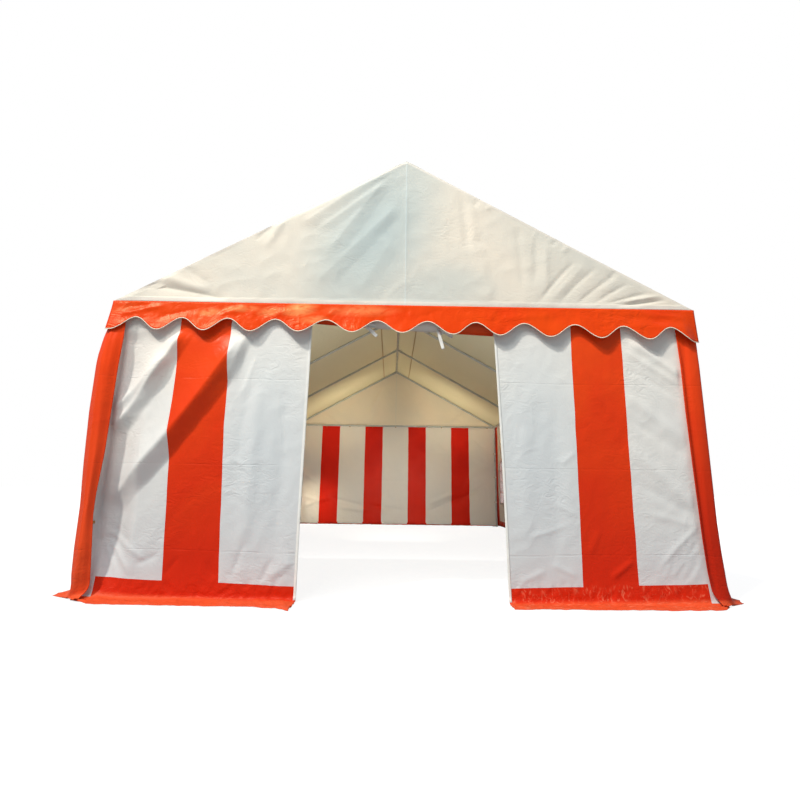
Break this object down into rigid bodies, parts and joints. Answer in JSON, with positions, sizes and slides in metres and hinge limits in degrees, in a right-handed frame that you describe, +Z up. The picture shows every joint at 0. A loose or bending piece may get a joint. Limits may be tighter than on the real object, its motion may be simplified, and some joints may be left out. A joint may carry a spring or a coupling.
{
  "type": "striped party tent",
  "caption": "Long gabled party tent of steel tubes and striped sheeting, with a scalloped valance, arched side windows, ground flaps and a rolled-up door panel.",
  "frame": {"origin": "on the ground at the middle of the tent's footprint, under the middle of the ridge", "axes": "+X across the tent, to the right as seen from the open front; +Y along the tent towards its closed rear; +Z up"},
  "size_m": [4.32, 8.2734, 3.02],
  "materials": {
    "galvanised_steel": "dull galvanised",
    "cream_sheet": "coated, satin",
    "orange_sheet": "coated, semi-gloss",
    "white_sheet": "coated, satin",
    "window_film": "clear film",
    "tie_webbing": "woven"
  },
  "bodies": {
    "root": {"leg_left_1": "galvanised_steel", "leg_left_2": "galvanised_steel", "leg_left_3": "galvanised_steel", "leg_left_4": "galvanised_steel", "leg_left_5": "galvanised_steel", "rafter_left_1": "galvanised_steel", "rafter_left_2": "galvanised_steel", "rafter_left_3": "galvanised_steel", "rafter_left_4": "galvanised_steel", "rafter_left_5": "galvanised_steel", "leg_right_1": "galvanised_steel", "leg_right_2": "galvanised_steel", "leg_right_3": "galvanised_steel", "leg_right_4": "galvanised_steel", "leg_right_5": "galvanised_steel", "rafter_right_1": "galvanised_steel", "rafter_right_2": "galvanised_steel", "rafter_right_3": "galvanised_steel", "rafter_right_4": "galvanised_steel", "rafter_right_5": "galvanised_steel", "eave_rail_left": "galvanised_steel", "eave_rail_right": "galvanised_steel", "ridge_rail": "galvanised_steel", "tie_pole_front": "galvanised_steel", "tie_pole_rear": "galvanised_steel", "roof_left": "cream_sheet", "roof_right": "cream_sheet", "gable_front": "cream_sheet", "gable_rear": "cream_sheet", "valance_front": "orange_sheet", "valance_rear": "orange_sheet", "valance_left": "orange_sheet", "valance_right": "orange_sheet", "side_wall_left": "white_sheet", "side_wall_right": "white_sheet", "window_film_left": "window_film", "window_film_right": "window_film", "front_wall_left": "white_sheet", "front_wall_right": "white_sheet", "rear_wall": "white_sheet", "door_panel": "white_sheet", "door_tie_left": "tie_webbing", "door_tie_right": "tie_webbing"}
  },
  "joints": []
}
